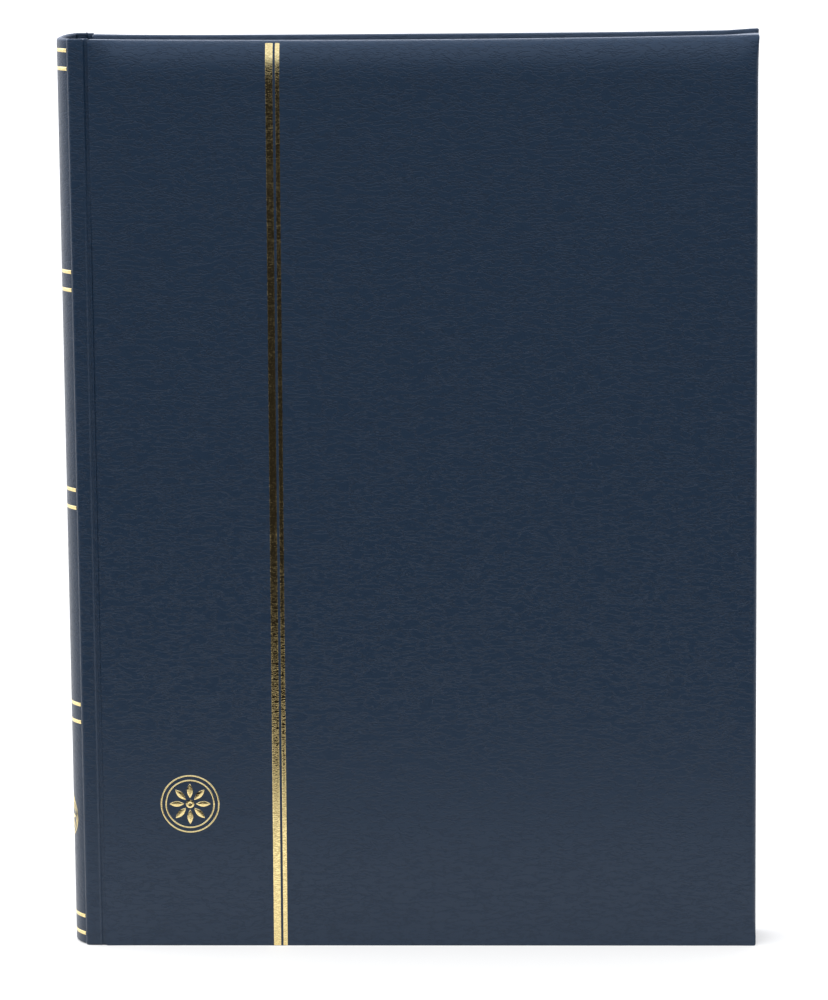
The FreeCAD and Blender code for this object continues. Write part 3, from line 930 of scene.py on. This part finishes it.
def on_spine(along, z):
    """Points and outward normals of the spine, by distance round it from its outermost."""
    angle = along / SPINE_RADIUS
    points = np.stack([SPINE_CENTRE_X - SPINE_RADIUS * np.cos(angle),
                       SPINE_RADIUS * np.sin(angle), z], axis=1)
    return points, np.stack([-np.cos(angle), np.sin(angle), np.zeros_like(z)], axis=1)


def spine_emblem():
    """The smaller rosette on the spine."""
    low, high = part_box("spine_emblem")
    shapes = []
    for flat, faces, share in disc_parts(high.z - low.z):
        surface = on_spine(flat[:, 0], (low.z + high.z) / 2 + flat[:, 1])
        lift = FOIL_SUNK + share * (FOIL_PROUD - FOIL_SUNK)
        shapes.append(foil_sheet(surface, faces, lift, (-1, 0, 0)))
    return gathered(shapes)


def spine_lines():
    """Five pairs of lines across the spine."""
    reach = SPINE_RADIUS * SPINE_HALF_ANGLE - 0.1 * MM
    along = np.linspace(-reach, reach, 41)
    heights = BAND_WIDTH * np.array([-0.5, -0.36, -0.15, 0.15, 0.36, 0.5])
    lifts = np.array([-0.02, 0.07, 0.1, 0.1, 0.07, -0.02]) * MM
    faces = grid_faces(len(heights), len(along))
    shapes = []
    for pair in range(BAND_PAIRS):
        middle = BAND_MARGIN + pair * (HEIGHT - 2 * BAND_MARGIN) / (BAND_PAIRS - 1)
        for edge in (-0.5, 0.5):
            z = np.repeat(middle + edge * BAND_SPACING + heights, len(along))
            surface = on_spine(np.tile(along, len(heights)), z)
            lift = np.repeat(lifts, len(along))
            shapes.append(foil_sheet(surface, faces, lift, (-1, 0, 0)))
    return gathered(shapes)


def build_foil():
    """All the gold."""
    narrow_x = stripe_high.x - STRIPE_NARROW
    stripes = gathered([stripe(stripe_low.x, STRIPE_WIDE), stripe(narrow_x, STRIPE_NARROW)])
    add_piece("front_stripes", stripes, GOLD, "front_cover",
              ["front_gold_stripes"])
    add_piece("front_rosette", front_emblem(), GOLD, "front_cover",
              ["front_emblem"])
    add_piece("spine_lines", spine_lines(), GOLD, "spine",
              ["spine_gold_bands"])
    add_piece("spine_rosette", spine_emblem(), GOLD, "spine",
              ["spine_emblem"])


# ------------------------------------------------------------ leaves
def rounded_card(low, high, radius, bevel=0.08 * MM):
    """A flat card with rounded corners and slightly softened edges."""
    across = crowded(24, 0.95)
    box = (low.x, high.x, low.z, high.z)

    def level(y, inset):
        x0, x1, z0, z1 = box
        flat = ring((x0 + inset, x1 - inset, z0 + inset, z1 - inset), radius, across, across)
        return np.stack([flat[:, 0], np.full(len(flat), y), flat[:, 1]], axis=1)

    rings = [level(low.y, bevel), level(low.y + bevel, 0.0), level(high.y - bevel, 0.0),
             level(high.y, bevel)]
    points = np.vstack(rings)
    return points, facing_out(points, tube_faces(len(rings), len(rings[0]), capped=True))


def repaint(node, material):
    """A better material on a CAD part whose shape is right."""
    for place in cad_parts[node].material_slots:
        place.material = material


def build_leaves():
    """Cards with rounded corners; strips, linen and interleaves as the CAD has them."""
    for number in range(1, LEAF_COUNT + 1):
        name = f"leaf_{number}"
        low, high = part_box(f"{name}_card")
        add_piece(f"{name}_page", rounded_card(low, high, CARD_CORNER), ALBUM_CARD,
                  name, [f"{name}_card"])
        repaint(f"{name}_linen", LINEN)
        repaint(f"{name}_front_strips", CLEAR_FILM)
        repaint(f"{name}_back_strips", CLEAR_FILM)
        repaint(f"{name}_interleaf", GLASSINE)


def build_lining():
    """Gauze down the back of the block, in panels between leaf and leaf."""
    low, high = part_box("block_lining")
    half = LEAF_COUNT // 2
    pitch = (high.y - low.y + 0.1 * MM) / LEAF_COUNT
    levels = np.linspace(low.z, high.z, 60)
    order = [f"leaf_{number}" for number in range(1, half + 1)] + ["spine"]
    for side in (FRONT, BACK):
        bodies = order if side == FRONT else [
            f"leaf_{LEAF_COUNT + 1 - number}" for number in range(1, half + 1)] + ["spine"]
        for step, (outer, inner) in enumerate(zip(bodies, bodies[1:])):
            start = side * pitch * (half - 0.5 - step)
            end = side * pitch * max(half - 1.5 - step, 0)
            if step == 0:
                start = side * high.y
            across = np.linspace(start, end, 7)
            points = [(low.x + GAUZE_THICK, y, z) for z in levels for y in across]
            shape = thicken(np.array(points), grid_faces(len(levels), len(across)),
                            -GAUZE_THICK, (1, 0, 0))
            word = "front" if side == FRONT else "back"
            panel = add_piece(f"{word}_gauze_{step + 1}", shape, GAUZE,
                              replaces=["block_lining"])
            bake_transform(panel)


# ------------------------------------------------------------ stage, light and camera
def build_stage():
    """A pale floor that glows, weakly near the album and more away from it, which lifts the
    shadows on it as painted light; and a dark card on it that only reflections see.
    """
    bpy.ops.mesh.primitive_plane_add(size=60, location=(0, 0, 0))
    floor = bpy.context.object
    floor.name = "pale_floor"
    material, tree, shader = finish_named("pale floor")
    mottle = put(tree, "ShaderNodeTexNoise", {"Vector": own_place(tree), "Scale": 3.0})
    two_tone(tree, shader, mottle.outputs["Fac"], (0.46, 0.46, 0.46), (0.48, 0.48, 0.48))
    shader.inputs["Roughness"].default_value = 0.7
    # Painted light: the floor glows by 0.38 within 0.6 m of the middle, rising to 0.72 at 3 m,
    # which lifts the shadows on it.
    shader.inputs["Emission Color"].default_value = (1, 1, 1, 1)
    place = own_place(tree)
    away = put(tree, "ShaderNodeVectorMath", {0: place}, operation="LENGTH")
    glow = put(tree, "ShaderNodeMapRange",
               {"Value": away.outputs["Value"], "From Min": 0.6, "From Max": 3.0,
                "To Min": 0.38, "To Max": 0.72})
    tree.links.new(glow.outputs[0], shader.inputs["Emission Strength"])
    floor.data.materials.append(material)

    bpy.ops.mesh.primitive_plane_add(size=1, location=(0, -15.1, 0.0005))
    card = bpy.context.object
    card.name = "dark_card"
    card.scale = (40, 30, 1)
    material = bpy.data.materials.new("dark card")
    material.use_nodes = True
    tree = material.node_tree
    tree.nodes.clear()
    place = own_place(tree)
    along = put(tree, "ShaderNodeSeparateXYZ", {"Vector": place}).outputs["Y"]
    fade = put(tree, "ShaderNodeMapRange",
               {"Value": along, "From Min": 0.4935, "From Max": 0.4984})
    clear = put(tree, "ShaderNodeBsdfTransparent")
    dark = put(tree, "ShaderNodeEmission", {"Color": (0.018, 0.017, 0.019, 1)})
    mix = put(tree, "ShaderNodeMixShader",
              {0: fade.outputs[0], 1: dark.outputs[0], 2: clear.outputs[0]})
    out = tree.nodes.new("ShaderNodeOutputMaterial")
    tree.links.new(mix.outputs[0], out.inputs["Surface"])
    card.data.materials.append(material)
    card.visible_camera = False
    card.visible_diffuse = False
    card.visible_shadow = False
    card.visible_transmission = False


def bright_side(tree, value, start, end, low, high):
    """Brightness that rises from low to high between two directions."""
    made = put(tree, "ShaderNodeMapRange",
               {"Value": value, "From Min": start, "From Max": end, "To Min": low,
                "To Max": high}, interpolation_type="SMOOTHSTEP")
    return made.outputs[0]


def build_world():
    """Soft light from everywhere, with a dark front and bright sides in reflections."""
    world = bpy.data.worlds.new("soft studio")
    bpy.context.scene.world = world
    world.use_nodes = True
    tree = world.node_tree
    tree.nodes.clear()
    path = put(tree, "ShaderNodeLightPath")
    level = put(tree, "ShaderNodeMapRange",
                {"Value": path.outputs["Is Diffuse Ray"], "To Min": 1.05, "To Max": 0.75})
    soft = put(tree, "ShaderNodeBackground", {"Color": (1, 1, 1, 1),
                                              "Strength": level.outputs[0]})
    way = put(tree, "ShaderNodeSeparateXYZ",
              {"Vector": put(tree, "ShaderNodeTexCoord").outputs["Generated"]})
    overhead = bright_side(tree, way.outputs["Z"], 0.13, 0.38, 0.018, 1.2)
    left = bright_side(tree, way.outputs["X"], -0.5, -0.95, 0.0, 0.85)
    behind = bright_side(tree, way.outputs["Y"], 0.0, 0.5, 0.0, 1.2)
    right = bright_side(tree, way.outputs["X"], 0.3, 0.75, 0.0, 0.2)
    sides = maths(tree, "ADD", right, left)
    total = maths(tree, "ADD", maths(tree, "ADD", overhead, sides), behind)
    studio = put(tree, "ShaderNodeBackground", {"Color": (0.92, 0.97, 1.12, 1),
                                                "Strength": total})
    mix = put(tree, "ShaderNodeMixShader",
              {0: path.outputs["Is Glossy Ray"], 1: soft.outputs[0], 2: studio.outputs[0]})
    out = tree.nodes.new("ShaderNodeOutputWorld")
    tree.links.new(mix.outputs[0], out.inputs["Surface"])


def add_lamp(name, place, aim, size, power):
    """A large soft lamp."""
    data = bpy.data.lights.new(name, "AREA")
    data.shape = "RECTANGLE"
    data.size, data.size_y = size
    data.energy = power
    lamp = bpy.data.objects.new(name, data)
    lamp.location = place
    lamp.visible_glossy = False
    lamp.rotation_mode = "QUATERNION"
    lamp.rotation_quaternion = (Vector(aim) - Vector(place)).to_track_quat("-Z", "Y")
    bpy.context.scene.collection.objects.link(lamp)


def build_camera():
    """A long lens a little above the head of the album, turned slightly to the spine."""
    yaw, pitch, roll = -0.03823, 0.16230, -0.00957
    ahead = Vector((math.sin(yaw) * math.cos(pitch), math.cos(yaw) * math.cos(pitch),
                    -math.sin(pitch)))
    right = Vector((math.cos(yaw), -math.sin(yaw), 0))
    up = right.cross(ahead)
    right_rolled = math.cos(roll) * right + math.sin(roll) * up
    up_rolled = -math.sin(roll) * right + math.cos(roll) * up
    data = bpy.data.cameras.new("camera")
    data.lens = 155.65
    data.sensor_width = 36.0
    data.clip_start = 0.05
    data.clip_end = 200.0
    camera = bpy.data.objects.new("camera", data)
    turn = Matrix((right_rolled, up_rolled, -ahead)).transposed().to_4x4()
    camera.matrix_world = Matrix.Translation((0.0556, -1.42298, 0.38348)) @ turn
    bpy.context.scene.collection.objects.link(camera)
    bpy.context.scene.camera = camera


build_covers()
build_spine()
build_foil()
build_leaves()
build_lining()
for cover_name in ("front", "back"):
    repaint(f"{cover_name}_endpaper", ENDPAPER)
repaint("spine_stiffener", GREYBOARD)
build_stage()
build_world()
add_lamp("overhead soft box", (-0.3, -0.2, 2.2), (0, 0, 0.2), (1.6, 1.2), 64)
build_camera()
bpy.context.scene.view_settings.view_transform = "Standard"
